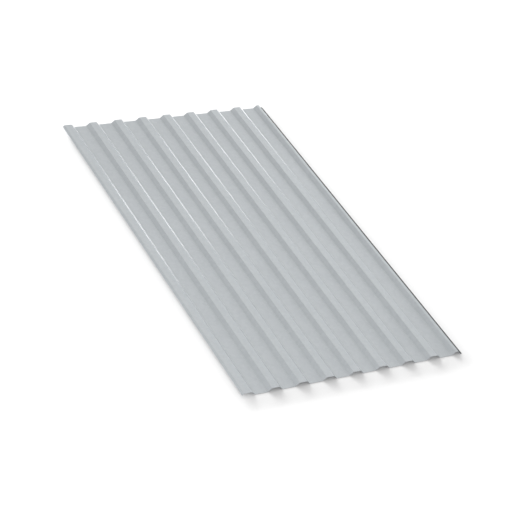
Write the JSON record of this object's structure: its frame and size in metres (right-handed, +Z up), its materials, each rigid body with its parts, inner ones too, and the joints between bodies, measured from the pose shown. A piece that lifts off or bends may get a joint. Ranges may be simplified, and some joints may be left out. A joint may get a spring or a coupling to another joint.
{
  "type": "corrugated metal sheet",
  "caption": "Trapezoidal profiled zinc-coated steel sheet for roofs and walls, with a wide overlapping edge rib and a short underlapping edge rib with a foot.",
  "frame": {"origin": "middle of the plane that the sheet lies on, under its valleys", "axes": "+X across the ribs, from the overlapping edge rib to the underlapping one; +Y along the ribs; +Z up, from the valleys to the crests"},
  "size_m": [1.146, 2, 0.018],
  "materials": {
    "zinc_coated_steel": "satin, skin-passed hot-dip zinc without visible spangle"
  },
  "bodies": {
    "root": {"profiled_sheet": "zinc_coated_steel"}
  },
  "joints": []
}
